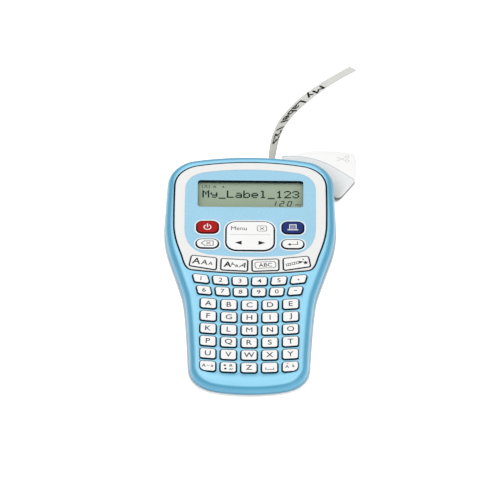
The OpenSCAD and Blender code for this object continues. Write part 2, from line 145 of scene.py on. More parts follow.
def brushed(name, color, rough=0.3, along=(1, 1, 40)):
    """Metal with fine brush marks along one direction."""
    m, nodes, links, shader = principled(name, color, rough, Metallic=1.0)
    where = nodes.new("ShaderNodeTexCoord")
    place = nodes.new("ShaderNodeMapping")
    place.inputs["Scale"].default_value = along
    marks = nodes.new("ShaderNodeTexNoise")
    marks.inputs["Scale"].default_value = 160
    marks.inputs["Detail"].default_value = 3
    links.new(where.outputs["Object"], place.inputs["Vector"])
    links.new(place.outputs["Vector"], marks.inputs["Vector"])
    gloss = nodes.new("ShaderNodeMapRange")
    gloss.inputs["To Min"].default_value = rough - 0.1
    gloss.inputs["To Max"].default_value = rough + 0.15
    links.new(marks.outputs["Fac"], gloss.inputs["Value"])
    links.new(gloss.outputs["Result"], shader.inputs["Roughness"])
    relief = nodes.new("ShaderNodeBump")
    relief.inputs["Strength"].default_value = 0.08
    relief.inputs["Distance"].default_value = 0.0001
    links.new(marks.outputs["Fac"], relief.inputs["Height"])
    links.new(relief.outputs["Normal"], shader.inputs["Normal"])
    return m


def board_laminate(name):
    """Green circuit laminate with thin copper tracks under the lacquer."""
    m, nodes, links, shader = principled(name, (0.01, 0.09, 0.035), 0.35)
    where = nodes.new("ShaderNodeTexCoord")
    tracks = nodes.new("ShaderNodeTexBrick")
    tracks.inputs["Scale"].default_value = 220
    tracks.inputs["Mortar Size"].default_value = 0.03
    tracks.inputs["Color1"].default_value = (0.008, 0.08, 0.03, 1)
    tracks.inputs["Color2"].default_value = (0.012, 0.11, 0.045, 1)
    tracks.inputs["Mortar"].default_value = (0.05, 0.2, 0.08, 1)
    links.new(where.outputs["Object"], tracks.inputs["Vector"])
    links.new(tracks.outputs["Color"], shader.inputs["Base Color"])
    return m


def paint_shade_along(material, y_low, y_high, share):
    """Painted shade: makes a material darker towards the low end of a stretch of the object's Y."""
    nodes, links = material.node_tree.nodes, material.node_tree.links
    shader = nodes["Principled BSDF"]
    old = shader.inputs["Base Color"].links[0].from_socket
    where = nodes.new("ShaderNodeTexCoord")
    split = nodes.new("ShaderNodeSeparateXYZ")
    links.new(where.outputs["Object"], split.inputs["Vector"])
    ramp = nodes.new("ShaderNodeValToRGB")
    ramp.color_ramp.elements[0].color = (share, share*1.04, share*0.96, 1)
    ramp.color_ramp.elements[1].color = (1, 1, 1, 1)
    band = nodes.new("ShaderNodeMapRange")
    band.inputs["From Min"].default_value = y_low
    band.inputs["From Max"].default_value = y_high
    links.new(split.outputs["Y"], band.inputs["Value"])
    links.new(band.outputs["Result"], ramp.inputs["Fac"])
    multiply(material, old, ramp.outputs["Color"])
    return material


BLUE = moulded("blue_shell", (0.285, 0.665, 0.88), 0.30, 0.03, 1100, 0.03, Coat_Weight=0.25)
# Painted shade on the blue shell, darker on the sides and the far end
paint_side_shade(BLUE, (0.34, 0.57, 0.65), (0.26, 0.51, 0.59))
PANEL = moulded("blue_panel", (0.315, 0.60, 0.775), 0.26, 0.02, 1100, 0.02, Coat_Weight=0.3)
WHITE = moulded("white_ring", (0.82, 0.82, 0.81), 0.32, 0.006, 1000, 0.008, Coat_Weight=0.2)
# The lever's faint emission is painted light: it glows so its shaded near facet stays white
LEVER_GLOW = moulded("lever_white_painted_glow", (0.68, 0.68, 0.67), 0.4, 0.01, 900, 0.015,
                Emission_Color=(1, 1, 0.99, 1), Emission_Strength=0.22)
# Painted shade for the lever's underside, outline and fold line
EDGE_SHADE = moulded("lever_underside_painted_shade", (0.3, 0.3, 0.3), 0.5, 0.03)
LINE_SHADE = moulded("lever_outline_painted_shade", (0.36, 0.36, 0.36), 0.5, 0.03)
# Grey for the scissors mark, and painted shade for the groove line across the navigation pad
GREY_MARK_AND_GROOVE_SHADE = moulded("grey_mark_and_groove_shade", (0.62, 0.62, 0.61), 0.4, 0.015)
REAR = moulded("rear_white", (0.66, 0.67, 0.675), 0.45, 0.02, 700, 0.06)
SEAM = moulded("seam_shadow", (0.004, 0.012, 0.02), 0.8, 0.1, Specular_IOR_Level=0.05)
KEY_FACE = moulded("key_face", (0.89, 0.885, 0.875), 0.33, 0.012, 1300, 0.02)
# Dark edges of the white, red and navy keys: partly the keys' own dark rim, partly painted shade of the
# gap round each key
KEY_EDGE_GAP_SHADE = moulded("key_edge_and_gap_shade", (0.004, 0.02, 0.04), 0.6, 0.1, Specular_IOR_Level=0.1)
HALO = moulded("key_halo", (0.9, 0.9, 0.895), 0.35, 0.01)
RED = moulded("key_red", (0.40, 0.004, 0.004), 0.5, 0.04, Specular_IOR_Level=0.12)
RED_EDGE_GAP_SHADE = moulded("key_red_edge_and_gap_shade", (0.06, 0.002, 0.004), 0.6, 0.1, Specular_IOR_Level=0.1)
NAVY = moulded("key_navy", (0.012, 0.03, 0.17), 0.5, 0.06, Specular_IOR_Level=0.12)
NAVY_EDGE_GAP_SHADE = moulded("key_navy_edge_and_gap_shade", (0.004, 0.008, 0.03), 0.6, 0.1, Specular_IOR_Level=0.1)
INK = moulded("legend_ink", (0.02, 0.024, 0.028), 0.7, 0.1, Specular_IOR_Level=0.05)
INK_WHITE = moulded("legend_white", (0.88, 0.88, 0.88), 0.45, 0.02)
PRINT = moulded("tape_print", (0.004, 0.004, 0.004), 0.7, 0.2, Specular_IOR_Level=0.03)
TAPE = moulded("tape_film", (0.66, 0.66, 0.63), 0.5, 0.02, 500, 0.02)
# Painted shade on the tape, darker towards the end nearer the case
paint_shade_along(TAPE, 0.125, 0.175, 0.55)
LCD_INK = moulded("lcd_segments", (0.004, 0.018, 0.022), 0.8, 0.1, Specular_IOR_Level=0.02)
RUBBER = moulded("platen_rubber", (0.015, 0.015, 0.016), 0.7, 0.2, 600, 0.15)
MAT = moulded("key_mat_rubber", (0.62, 0.64, 0.65), 0.65, 0.05, 600, 0.1)
GEAR = moulded("gear_plastic", (0.7, 0.7, 0.66), 0.4, 0.04)
CASSETTE = moulded("cassette_plastic", (0.66, 0.66, 0.63), 0.45, 0.03, 600, 0.06)
CELL = moulded("battery_jacket", (0.03, 0.035, 0.05), 0.25, 0.1, Coat_Weight=0.5)
STEEL = brushed("steel", (0.56, 0.57, 0.58))
ALUMINIUM = brushed("aluminium", (0.62, 0.63, 0.64), 0.35, (40, 1, 1))
BRASS = brushed("brass", (0.62, 0.46, 0.2), 0.3, (1, 40, 1))
BOARD = board_laminate("circuit_board")


def display_glass(name):
    """Grey-green reflective display: a little darker towards the lower edge, faint cell pattern."""
    m, nodes, links, shader = principled(name, (0.36, 0.44, 0.30), 0.6, Specular_IOR_Level=0.1)
    where = nodes.new("ShaderNodeTexCoord")
    split = nodes.new("ShaderNodeSeparateXYZ")
    links.new(where.outputs["Object"], split.inputs["Vector"])
    ramp = nodes.new("ShaderNodeValToRGB")
    ramp.color_ramp.elements[0].color = (0.375, 0.47, 0.34, 1)
    ramp.color_ramp.elements[1].color = (0.465, 0.565, 0.425, 1)
    band = nodes.new("ShaderNodeMapRange")
    band.inputs["From Min"].default_value = 0.053
    band.inputs["From Max"].default_value = 0.074
    links.new(split.outputs["Y"], band.inputs["Value"])
    links.new(band.outputs["Result"], ramp.inputs["Fac"])
    cells = nodes.new("ShaderNodeTexNoise")
    cells.inputs["Scale"].default_value = 1500
    links.new(where.outputs["Object"], cells.inputs["Vector"])
    multiply(m, ramp.outputs["Color"], cells.outputs["Color"], 0.12)
    return m


def window_glass(name):
    """Thin clear window with a faint smear in its gloss."""
    m, nodes, links, shader = principled(name, (0.05, 0.08, 0.06), 0.06, Alpha=0.06, IOR=1.45)
    shader.inputs["Specular IOR Level"].default_value = 0.15
    smear = nodes.new("ShaderNodeTexNoise")
    smear.inputs["Scale"].default_value = 60
    gloss = nodes.new("ShaderNodeMapRange")
    gloss.inputs["To Min"].default_value = 0.04
    gloss.inputs["To Max"].default_value = 0.12
    links.new(smear.outputs["Fac"], gloss.inputs["Value"])
    links.new(gloss.outputs["Result"], shader.inputs["Roughness"])
    return m


LCD = display_glass("lcd_glass")
WINDOW = window_glass("clear_window")


# ---------- plane curves ----------
def bezier(p, t):
    """Point at t on the cubic curve with the four control points p."""
    u = 1 - t
    w = (u*u*u, 3*u*u*t, 3*u*t*t, t*t*t)
    return tuple(sum(k*q[i] for k, q in zip(w, p)) for i in range(len(p[0])))


def both_sides(curves, steps):
    """Closed clockwise loop from its right half, given from top centre to bottom centre."""
    half = [bezier(c, k/steps) for c in curves for k in range(steps)] + [curves[-1][3]]
    return half + [(-x, y) for x, y in half[-2:0:-1]]


def inset(loop, d):
    """The clockwise loop moved in by d."""
    out = []
    for i, (x, y) in enumerate(loop):
        (ax, ay), (bx, by) = loop[i - 1], loop[(i + 1) % len(loop)]
        n = math.hypot(bx - ax, by - ay)
        out.append((x + d*(by - ay)/n, y - d*(bx - ax)/n))
    return out


CASE = both_sides([
    ((0, 101), (12, 101), (24, 99.8), (36, 97.3)),
    ((36, 97.3), (44, 95.7), (51.6, 88), (52.4, 78)),
    ((52.4, 78), (52.9, 68), (53.7, 52), (53.7, 40)),
    ((53.7, 40), (53.7, 30), (52.3, 20), (50.4, 12)),
    ((50.4, 12), (48.3, 3.6), (43.9, -12.3), (41.5, -23.3)),
    ((41.5, -23.3), (40.1, -31), (39.2, -45), (38.6, -56)),
    ((38.6, -56), (38.1, -66), (37.6, -76), (37.3, -86)),
    ((37.3, -86), (37, -95), (31.5, -101.5), (24, -104)),
    ((24, -104), (17, -106.2), (8, -107), (0, -107))], 12)
RING_OUT = both_sides([
    ((0, 92.4), (11, 92.4), (22, 91.4), (33, 89)),
    ((33, 89), (41, 87.2), (46.8, 81), (47.3, 72)),
    ((47.3, 72), (47.6, 62), (47.7, 48), (47.6, 36)),
    ((47.6, 36), (47.4, 26), (45, 17), (42.6, 9)),
    ((42.6, 9), (41.2, 3), (40.2, -3.8), (35.8, -3.9)),
    ((35.8, -3.9), (24, -5.7), (12, -6.6), (0, -6.6))], 12)
RING_IN = both_sides([
    ((0, 86.2), (10, 86.2), (20, 85.4), (29, 83.5)),
    ((29, 83.5), (36, 82), (40.8, 77), (41.1, 69)),
    ((41.1, 69), (41.3, 58), (41.3, 46), (41.3, 34)),
    ((41.3, 34), (41.3, 22), (38, 12.5), (27, 9.6)),
    ((27, 9.6), (18, 8.2), (9, 7.6), (0, 7.6))], 12)


def rounded(corners, radii, grow=0.0, steps=6):
    """Rounded convex polygon (anticlockwise corners), grown by grow."""
    out = []
    for i, p in enumerate(corners):
        p = Vector(p)
        u = (Vector(corners[i - 1]) - p).normalized()
        v = (Vector(corners[(i + 1) % len(corners)]) - p).normalized()
        half = u.angle(v)/2
        c = p + (u + v).normalized()*radii[i]/math.sin(half)
        start, turn = math.atan2(u.x, -u.y), math.pi - 2*half
        for k in range(steps + 1):
            t = start + turn*k/steps
            out.append((c.x + (radii[i] + grow)*math.cos(t), c.y + (radii[i] + grow)*math.sin(t)))
    return out


def quad(x, y, w, h, slope=0.0, lean=0.0):
    """Corners of a key from the top right, anticlockwise."""
    return [(x + sx*w/2 + lean*sy*h/2, y + sy*h/2 + slope*sx*w/2)
            for sx, sy in ((1, 1), (-1, 1), (-1, -1), (1, -1))]


def mirrored(corners):
    return [(-corners[i][0], corners[i][1]) for i in (1, 0, 3, 2)]


# ---------- meshes ----------
class Shape:
    """Mesh under construction, in face-frame millimetres unless another matrix is given."""

    def __init__(self):
        self.bm = bmesh.new()

    def ring(self, loop, z=None):
        return [self.bm.verts.new(p if z is None else (p[0], p[1], z)) for p in loop]

    def bridge(self, a, b, mat=0):
        n = len(a)
        for i in range(n):
            j = (i + 1) % n
            self.bm.faces.new((a[i], a[j], b[j], b[i])).material_index = mat

    def loft(self, rings, mats=None, closed=False):
        """Joins rings of vertices in turn; closed joins the last to the first as well."""
        pairs = list(zip(rings, rings[1:] + rings[:1] if closed else rings[1:]))
        for k, (a, b) in enumerate(pairs):
            self.bridge(a, b, mats[k] if mats else 0)

    def cap(self, ring, mat=0):
        self.bm.faces.new(ring).material_index = mat

    def region(self, outer, holes, z, mat=0):
        """Flat face at height z inside outer and outside every hole."""
        points, edges = [], []
        for loop in [outer] + holes:
            base = len(points)
            points += [Vector(p[:2]) for p in loop]
            edges += [(base + i, base + (i + 1) % len(loop)) for i in range(len(loop))]
        verts, _, faces, *_ = delaunay_2d_cdt(points, edges, [], 1, 1e-5)
        made = [self.bm.verts.new((v.x, v.y, z)) for v in verts]
        for f in faces:
            c = sum((verts[i] for i in f), Vector((0, 0)))/len(f)
            if not any(inside(c, hole) for hole in holes):
                self.bm.faces.new([made[i] for i in f]).material_index = mat

    def add_mesh(self, mesh, matrix, mat):
        """Copies another mesh in, moved by matrix, with one material."""
        verts = [self.bm.verts.new(matrix @ v.co) for v in mesh.vertices]
        for poly in mesh.polygons:
            try:
                self.bm.faces.new([verts[i] for i in poly.vertices]).material_index = mat
            except ValueError:
                continue

    def build(self, name, mats, matrix=FACE, sharp=28, weld=True, flip_check=True):
        if weld:
            bmesh.ops.remove_doubles(self.bm, verts=self.bm.verts, dist=0.0008)
        loose = [v for v in self.bm.verts if not v.link_faces]
        bmesh.ops.delete(self.bm, geom=loose, context="VERTS")
        if flip_check:
            bmesh.ops.recalc_face_normals(self.bm, faces=self.bm.faces)
        mesh = bpy.data.meshes.new(name)
        self.bm.to_mesh(mesh)
        self.bm.free()
        mesh.transform(matrix)
        for m in mats:
            mesh.materials.append(m)
        mesh.polygons.foreach_set("use_smooth", [True]*len(mesh.polygons))
        mesh.set_sharp_from_angle(angle=math.radians(sharp))
        mesh.update()
        obj = bpy.data.objects.new(name, mesh)
        bpy.context.scene.collection.objects.link(obj)
        return obj


def inside(p, loop):
    """Whether a point of the plane is inside a closed loop."""
    odd = False
    for i, (x1, y1) in enumerate(loop):
        x0, y0 = loop[i - 1]
        if (y0 > p[1]) != (y1 > p[1]) and p[0] < (x1 - x0)*(p[1] - y0)/(y1 - y0) + x0:
            odd = not odd
    return odd


def place(obj, body, slot, *nodes):
    """Puts a piece on its body, in the place of the CAD nodes named, which it hides; the slot is not used.
    """
    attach(obj, body)
    if nodes:
        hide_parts(*nodes)
    return obj


# ---------- keys ----------
def even(r):
    """The same radius at all four corners."""
    return (r,)*4


SIZE_QUAD = [(-20.7, 6.3), (-36.8, 8.6), (-38.4, -1.1), (-21, -4.9)]
FONT_QUAD = [(-1.2, 4.7), (-18.2, 5.9), (-18.4, -4.7), (-1.3, -5.8)]
LETTER_W, LETTER_H = 10.5, 9.3
COLUMN, ROW = 12.9, 11.1
FIRST_ROW_Y, SMILE = -35.8, 1.35
OUTER_COLUMN = 25.8


def letter_corners(row, col):
    """Corners of a letter key; the rows curve up towards both ends."""
    x = (col - 2)*COLUMN
    u = x/OUTER_COLUMN
    return quad(x, FIRST_ROW_Y - row*ROW + SMILE*u*u, LETTER_W, LETTER_H, 2*SMILE*u/OUTER_COLUMN)


def number_corners(x, y0, bow, w, h):
    """Corners of a number key, on a row bowed by bow and leaning outwards."""
    return quad(x, y0 + bow*x*x, w, h, 2.4*bow*x, 0.0068*x)


# node: list of (corners, radii, legend)
UPPER_X = (-30.6, -18.3, -6.1, 6.1, 18.3, 30.6)
LOWER_X = (-28.6, -17, -5.7, 5.7, 17, 28.6)
KEYS = {
    "power_key": [(quad(-26.9, 34, 13.8, 11), even(3.8), "power")],
    "print_key": [(quad(26.9, 34, 13.8, 11), even(3.8), "printer")],
    "backspace_key": [(quad(-26.9, 19.2, 14.2, 8.5), even(3.9), "backspace")],
    "enter_key": [(quad(26.9, 19.2, 14.2, 8.5), even(3.9), "enter")],
    "navigation_key": [(quad(0, 26.2, 30.6, 26.4), even(7), "navigation")],
    "size_key": [(SIZE_QUAD, even(1.5), "sizes")],
    "font_key": [(FONT_QUAD, even(1.5), "fonts")],
    "frame_key": [(mirrored(FONT_QUAD), even(1.5), "framed")],
    "decoration_key": [(mirrored(SIZE_QUAD), even(1.5), "pencil")],
    "number_keys_upper": [(number_corners(x, -14.4, 0.0022, 10.2, 8.1), even(1.9), c)
                          for x, c in zip(UPPER_X, "12345.")],
    "number_keys_lower": [(number_corners(x, -24.2, 0.0019, 9.4, 8.1), even(1.9), c)
                          for x, c in zip(LOWER_X, "67890-")],
    "key_z": [(letter_corners(5, 2), even(2), "Z")],
    "shift_key": [(letter_corners(5, 0), (2, 2, 4.4, 2), "shift")],
    "symbol_key": [(letter_corners(5, 1), even(2), "symbol")],
    "space_key": [(letter_corners(5, 3), even(2), "space")],
    "accent_key": [(letter_corners(5, 4), (2, 2, 2, 4.4), "accent")],
}
for index, letter in enumerate("ABCDEFGHIJKLMNOPQRSTUVWXY"):
    KEYS["key_" + letter.lower()] = [(letter_corners(index//5, index % 5), even(2), letter)]
HALOED = ("power_key", "print_key", "backspace_key", "enter_key", "navigation_key")
RING_KEYS = ("size_key", "font_key", "frame_key", "decoration_key")
GROOVE_Y = 26.95  # line across the navigation pad, painted grey as shade in its groove, and the dip in the points that lie on it
GROOVE_REACH, GROOVE_DIP = 0.01, 0.2


# ---------- legends ----------
def text_mesh(words, size, bold=0.0, shear=0.0, narrow=1.0):
    """Flat mesh of words in the built-in font, centred on the origin, in millimetres."""
    curve = bpy.data.curves.new("words", "FONT")
    curve.body = words
    curve.size = size
    curve.offset = bold
    curve.shear = shear
    curve.align_x = "CENTER"
    curve.align_y = "CENTER"
    curve.resolution_u = 4
    obj = bpy.data.objects.new("words", curve)
    bpy.context.scene.collection.objects.link(obj)
    mesh = bpy.data.meshes.new_from_object(obj.evaluated_get(bpy.context.evaluated_depsgraph_get()))
    bpy.data.objects.remove(obj)
    mesh.transform(Matrix.Diagonal((narrow, 1, 1, 1)))
    xs, ys = [v.co.x for v in mesh.vertices], [v.co.y for v in mesh.vertices]
    if xs:
        mesh.transform(Matrix.Translation((-(min(xs) + max(xs))/2, -(min(ys) + max(ys))/2, 0)))
    return mesh


def stroke(points, width, closed=False):
    """Flat ribbon polygons along a polyline: a list of quads."""
    quads = []
    pairs = list(zip(points, points[1:] + points[:1])) if closed else list(zip(points, points[1:]))
    for a, b in pairs:
        a, b = Vector(a), Vector(b)
        d = (b - a).normalized()*width/2
        n = Vector((-d.y, d.x))
        quads.append([a - d + n, a - d - n, b + d - n, b + d + n])
    return quads


def arc(cx, cy, r, a0, a1, n=14):
    """Points along an arc from angle a0 to angle a1, in degrees."""
    return [(cx + r*math.cos(math.radians(a0 + (a1 - a0)*k/n)),
             cy + r*math.sin(math.radians(a0 + (a1 - a0)*k/n))) for k in range(n + 1)]


class Legend:
    """Collects flat marks at a spot on the face."""

    def __init__(self, shape, x, y, z, mat, turn=0.0):
        self.shape, self.mat = shape, mat
        self.at = Matrix.Translation((x, y, z)) @ Matrix.Rotation(turn, 4, "Z")
        self.lift = 0

    def polygons(self, polys):
        for poly in polys:
            self.lift += 1
            up = Matrix.Translation((0, 0, 0.0012*(self.lift % 7)))
            verts = [self.shape.bm.verts.new(self.at @ up @ Vector((p[0], p[1], 0))) for p in poly]
            self.shape.bm.faces.new(verts).material_index = self.mat

    def line(self, points, width=0.4, closed=False):
        self.polygons(stroke([tuple(p) for p in points], width, closed))

    def words(self, words, size, x=0.0, y=0.0, **style):
        mesh = text_mesh(words, size, **style)
        self.shape.add_mesh(mesh, self.at @ Matrix.Translation((x, y, 0)), self.mat)


def box_loop(w, h, r=0.5, x=0.0, y=0.0):
    """Rounded rectangle for a legend."""
    return rounded(quad(x, y, w, h), even(r), 0, 3)


def draw_legend(kind, g):
    """Draws the generic mark of a key, centred on it."""
    if kind == "power":
        g.line(arc(0, -0.4, 2.15, 125, 415, 20), 0.62)
        g.line([(0, -0.2), (0, 2.6)], 0.62)
    elif kind == "printer":
        g.line([(-2.0, -1.5), (-2.0, 2.5), (2.0, 2.5), (2.0, -1.5)], 0.5)
        g.line([(-3.0, -2.2), (3.0, -2.2)], 0.7)
        for k in range(3):
            g.line([(-1.1, 1.4 - 1.1*k), (1.1, 1.4 - 1.1*k)], 0.3)
    elif kind == "backspace":
        g.line([(-3.8, 0), (-1.7, 2.0), (3.7, 2.0), (3.7, -2.0), (-1.7, -2.0)], 0.44, True)
        g.line([(-0.6, 1.0), (1.9, -1.0)], 0.38)
        g.line([(-0.6, -1.0), (1.9, 1.0)], 0.38)
    elif kind == "enter":
        g.line([(3.0, 1.9), (3.0, -0.6), (-1.6, -0.6)], 0.5)
        g.polygons([[(-3.2, -0.6), (-1.4, -1.9), (-1.4, 0.7)]])
    elif kind == "navigation":
        g.words("Menu", 4.9, -7.1, 6.6, narrow=0.95)
        g.line(box_loop(5.9, 4.8, 1.0, 7.4, 6.5), 0.34, True)
        g.line([(6.2, 7.5), (8.6, 5.5)], 0.38)
        g.line([(6.2, 5.5), (8.6, 7.5)], 0.38)
        g.polygons([[(-9.6, -6.4), (-5.3, -8.2), (-5.3, -4.6)], [(9.6, -6.4), (5.3, -4.6), (5.3, -8.2)]])
    elif kind == "sizes":
        g.words("A", 7.6, -4.4, 0.4, bold=0.1)
        g.words("A", 5.9, 0.8, -0.1, bold=0.08)
        g.words("A", 4.1, 4.7, -0.6, bold=0.06)
    elif kind == "fonts":
        g.words("A", 6.6, -4.2, 0, bold=0.2)
        g.words("A", 4.4, -0.5, 0.5, shear=-0.3, bold=0.03)
        g.words("a", 4.2, 1.6, -0.9, bold=0.08)
        g.words("A", 6.4, 4.8, 0, shear=0.45, bold=0.06)
    elif kind == "framed":
        g.line(box_loop(13.0, 5.6, 1.6), 0.42, True)
        g.words("ABC", 4.6, 0, 0, bold=0.05, narrow=0.95)
    elif kind == "pencil":
        g.line([(-6.6, -2.2), (2.4, -0.6)], 0.42)
        g.line([(-6.9, -0.5), (1.9, 1.1)], 0.42)
        for k in range(7):
            g.line([(-6.6 + 1.3*k, -2.0 + 0.23*k), (-6.1 + 1.3*k, -0.4 + 0.23*k)], 0.34)
        g.polygons([[(2.0, -0.9), (4.6, 0.5), (1.5, 1.4)]])
        star = [(5.7 + (1.9 if k % 2 == 0 else 0.85)*math.sin(math.pi*k/5),
                 -0.6 + (1.9 if k % 2 == 0 else 0.85)*math.cos(math.pi*k/5)) for k in range(10)]
        g.polygons([[star[k - 1], star[k], star[k + 1], (5.7, -0.6)] for k in range(0, 9, 2)])
        g.polygons([[(4.6, 1.7), (5.2, 2.4), (4.6, 3.1), (4.0, 2.4)]])
    elif kind == "shift":
        g.words("A", 3.6, -2.6, 0.1, bold=0.04)
        g.line([(-0.8, 0), (0.9, 0)], 0.36)
        g.words("a", 3.8, 2.6, -0.2, bold=0.05)
    elif kind == "symbol":
        g.polygons([arc(-2.2, 1.4, 0.8, 0, 324, 9), arc(-1.8, -1.6, 0.8, 0, 324, 9)])
        g.words("&", 3.4, 1.6, 1.5, bold=0.03)
        g.line([(0.5, -2.6), (1.3, -1.2), (2.0, -2.6), (2.9, -1.0)], 0.38)
    elif kind == "space":
        g.line([(-2.5, -0.6), (-2.5, -1.9), (2.5, -1.9), (2.5, -0.6)], 0.5)
    elif kind == "accent":
        g.words("A", 3.6, -1.8, -0.4, bold=0.04)
        g.line([(-2.1, 1.9), (-1.1, 2.6)], 0.36)
        g.words("\u00e4", 3.8, 2.0, 0.3, bold=0.04)
    elif kind == "-":
        g.line([(-0.7, 0), (0.7, 0)], 0.62)
    elif kind == ".":
        g.polygons([arc(0, -0.6, 0.62, 0, 324, 9)])
    elif kind.isalpha():
        g.words(kind, 6.1, bold=0.0 if kind == "M" else 0.05)
    else:
        g.words(kind, 5.0, bold=0.04, narrow=1.05)


def key_cap(shape, corners, radii, node):
    """One cap: lip, dark side wall and dark outline band, partly the key's own dark rim and partly painted
    shade of the gap round it, pillowed face. Returns its centre.
    """
    def ring(grow, z, down=0.0):
        return shape.ring([(x, y - down) for x, y in rounded(corners, radii, grow)], z)
    # outline: width of the dark band round the face, partly painted gap shade
    outline, even_out = 0.6, 0.17
    rings = [ring(KEY_LIP, -3.2), ring(KEY_LIP, -2.4), ring(0, -2.4), ring(0, KEY_TOP - 0.45),
             ring(-0.08, KEY_TOP - 0.25), ring(-0.3, KEY_TOP - 0.12),
             ring(-outline, KEY_TOP - 0.07, even_out), ring(-outline - 0.02, KEY_TOP - 0.065, even_out),
             ring(-1.1, KEY_TOP - 0.02, even_out)]
    shape.loft(rings, [1, 1, 1, 1, 1, 1, 1, 0])
    shape.cap(list(reversed(rings[0])), 1)
    top = rings[-1]
    cx = sum(v.co.x for v in top)/len(top)
    cy = sum(v.co.y for v in top)/len(top)
    for f, rise in ((0.72, 0.01), (0.4, 0.03), (0.12, 0.035)):
        nxt = [shape.bm.verts.new((cx + (v.co.x - cx)*f, cy + (v.co.y - cy)*f, KEY_TOP + rise))
               for v in rings[8]]
        shape.bridge(top, nxt, 0)
        top = nxt
    shape.cap(top, 0)
    if node == "navigation_key":
        for v in shape.bm.verts:
            if v.co.z > KEY_TOP and abs(v.co.y - GROOVE_Y) < GROOVE_REACH:
                v.co.z -= GROOVE_DIP
    return cx, cy


KEY_MATERIALS = {"power_key": (RED, RED_EDGE_GAP_SHADE, INK_WHITE), "print_key": (NAVY, NAVY_EDGE_GAP_SHADE, INK_WHITE)}
LEGEND_Z = KEY_TOP + 0.04
for node, caps in KEYS.items():
    cap_shape = Shape()
    marks = Shape()
    for corners, radii, kind in caps:
        cx, cy = key_cap(cap_shape, corners, radii, node)
        slope = math.atan2(corners[0][1] - corners[1][1], corners[0][0] - corners[1][0])
        turn = slope if node in RING_KEYS else slope*0.3
        draw_legend(kind, Legend(marks, cx, cy, LEGEND_Z, 0, turn))
        if node == "navigation_key":
            # Grey line painted along the pad's groove: painted shade in the crease
            groove_shade = Legend(marks, 0, GROOVE_Y, LEGEND_Z + 0.01, 1)
            groove_shade.line([(-12.4, 0), (12.4, 0)], 0.5)
    body = next(b for b, members in frame["record"]["behaviour"]["bodies"].items() if node in members)
    face, edge, ink = KEY_MATERIALS.get(node, (KEY_FACE, KEY_EDGE_GAP_SHADE, INK))
    slot = {"power_key": "key_red", "print_key": "key_navy"}.get(node, "key_white")
    place(cap_shape.build(node + "_cap", [face, edge]), body, slot, node)
    place(marks.build(node + "_legend", [ink, GREY_MARK_AND_GROOVE_SHADE], weld=False, flip_check=False), body, slot)

# ---------- front case ----------
def key_holes(names, grow):
    """Outlines of the holes of the named keys."""
    return [rounded(corners, radii, grow) for n in names for corners, radii, _ in KEYS[n]]


def round_hole(shape, corners, radii, z_top, z_low, mat=0, soft=0.14):
    """Wall of a hole with a softened upper edge; returns the hole's outline on the top face."""
    def ring(grow, z):
        return shape.ring(rounded(corners, radii, KEY_GAP + grow), z)
    shape.loft([ring(soft, z_top), ring(soft*0.3, z_top - soft*0.3), ring(0, z_top - soft),
                ring(0, z_low)], [mat]*3)
    return rounded(corners, radii, KEY_GAP + soft)


LCD_CORNERS = quad(0, 64.7, 66.6, 24)
plate = Shape()
side = [(0, SEAM_Z), (0, -5.6)]
side += [(EDGE_W*(1 - math.cos(a)), -EDGE_H*(1 - math.sin(a)))
         for a in (math.radians(9*k) for k in range(1, 11))]
skin = [plate.ring(inset(CASE, d), z) for d, z in side + [(6.6, 0)]]
under = [plate.ring(inset(CASE, d), z) for d, z in ((6.6, -PLATE), (4, -2.5), (2.3, -4.2), (WALL, SEAM_Z))]
plate.loft(skin)
plate.loft(under)
plate.bridge(under[-1], skin[0])
SEAM_GAP = 0.7
SEAM_FLOOR = -0.2
ring_gap = inset(RING_OUT, -SEAM_GAP)
key_names = [n for n in KEYS if n not in HALOED + RING_KEYS]
lower_holes = [round_hole(plate, c, r, 0, -PLATE) for n in key_names for c, r, _ in KEYS[n]]
plate.region(inset(CASE, 6.6), lower_holes + [inset(ring_gap, -0.15)], 0)
plate.loft([plate.ring(inset(ring_gap, -0.15), 0), plate.ring(ring_gap, -0.15),
            plate.ring(ring_gap, SEAM_FLOOR)], [0, 2])
# The keys that stand in the ring go down through the plate too, in holes a little wider than the ring's
ring_key_holes = key_holes(RING_KEYS, KEY_GAP + 0.12)
for hole in ring_key_holes:
    plate.loft([plate.ring(hole, SEAM_FLOOR), plate.ring(hole, -PLATE)], [2])
plate.region(ring_gap, [RING_IN] + ring_key_holes, SEAM_FLOOR, 2)
panel_holes = [round_hole(plate, c, r, 0, -PLATE, 1) for n in HALOED for c, r, _ in KEYS[n]]
window_hole = rounded(LCD_CORNERS, even(2), 0.12)
plate.loft([plate.ring(window_hole, 0), plate.ring(rounded(LCD_CORNERS, even(2), 0), -0.12),
            plate.ring(rounded(LCD_CORNERS, even(2), 0), -PLATE)], [1, 2])
plate.region(RING_IN, panel_holes + [window_hole], 0, 1)
plate.loft([plate.ring(RING_IN, 0), plate.ring(RING_IN, SEAM_FLOOR)], [1])
every_hole = key_holes(key_names + list(HALOED), KEY_GAP) + ring_key_holes
every_hole.append(rounded(LCD_CORNERS, even(2), 0))
plate.region(inset(CASE, 6.6), every_hole, -PLATE, 0)
case = plate.build("front_case_shell", [BLUE, PANEL, SEAM], flip_check=False)
place(case, "body", "blue_shell", "front_case")

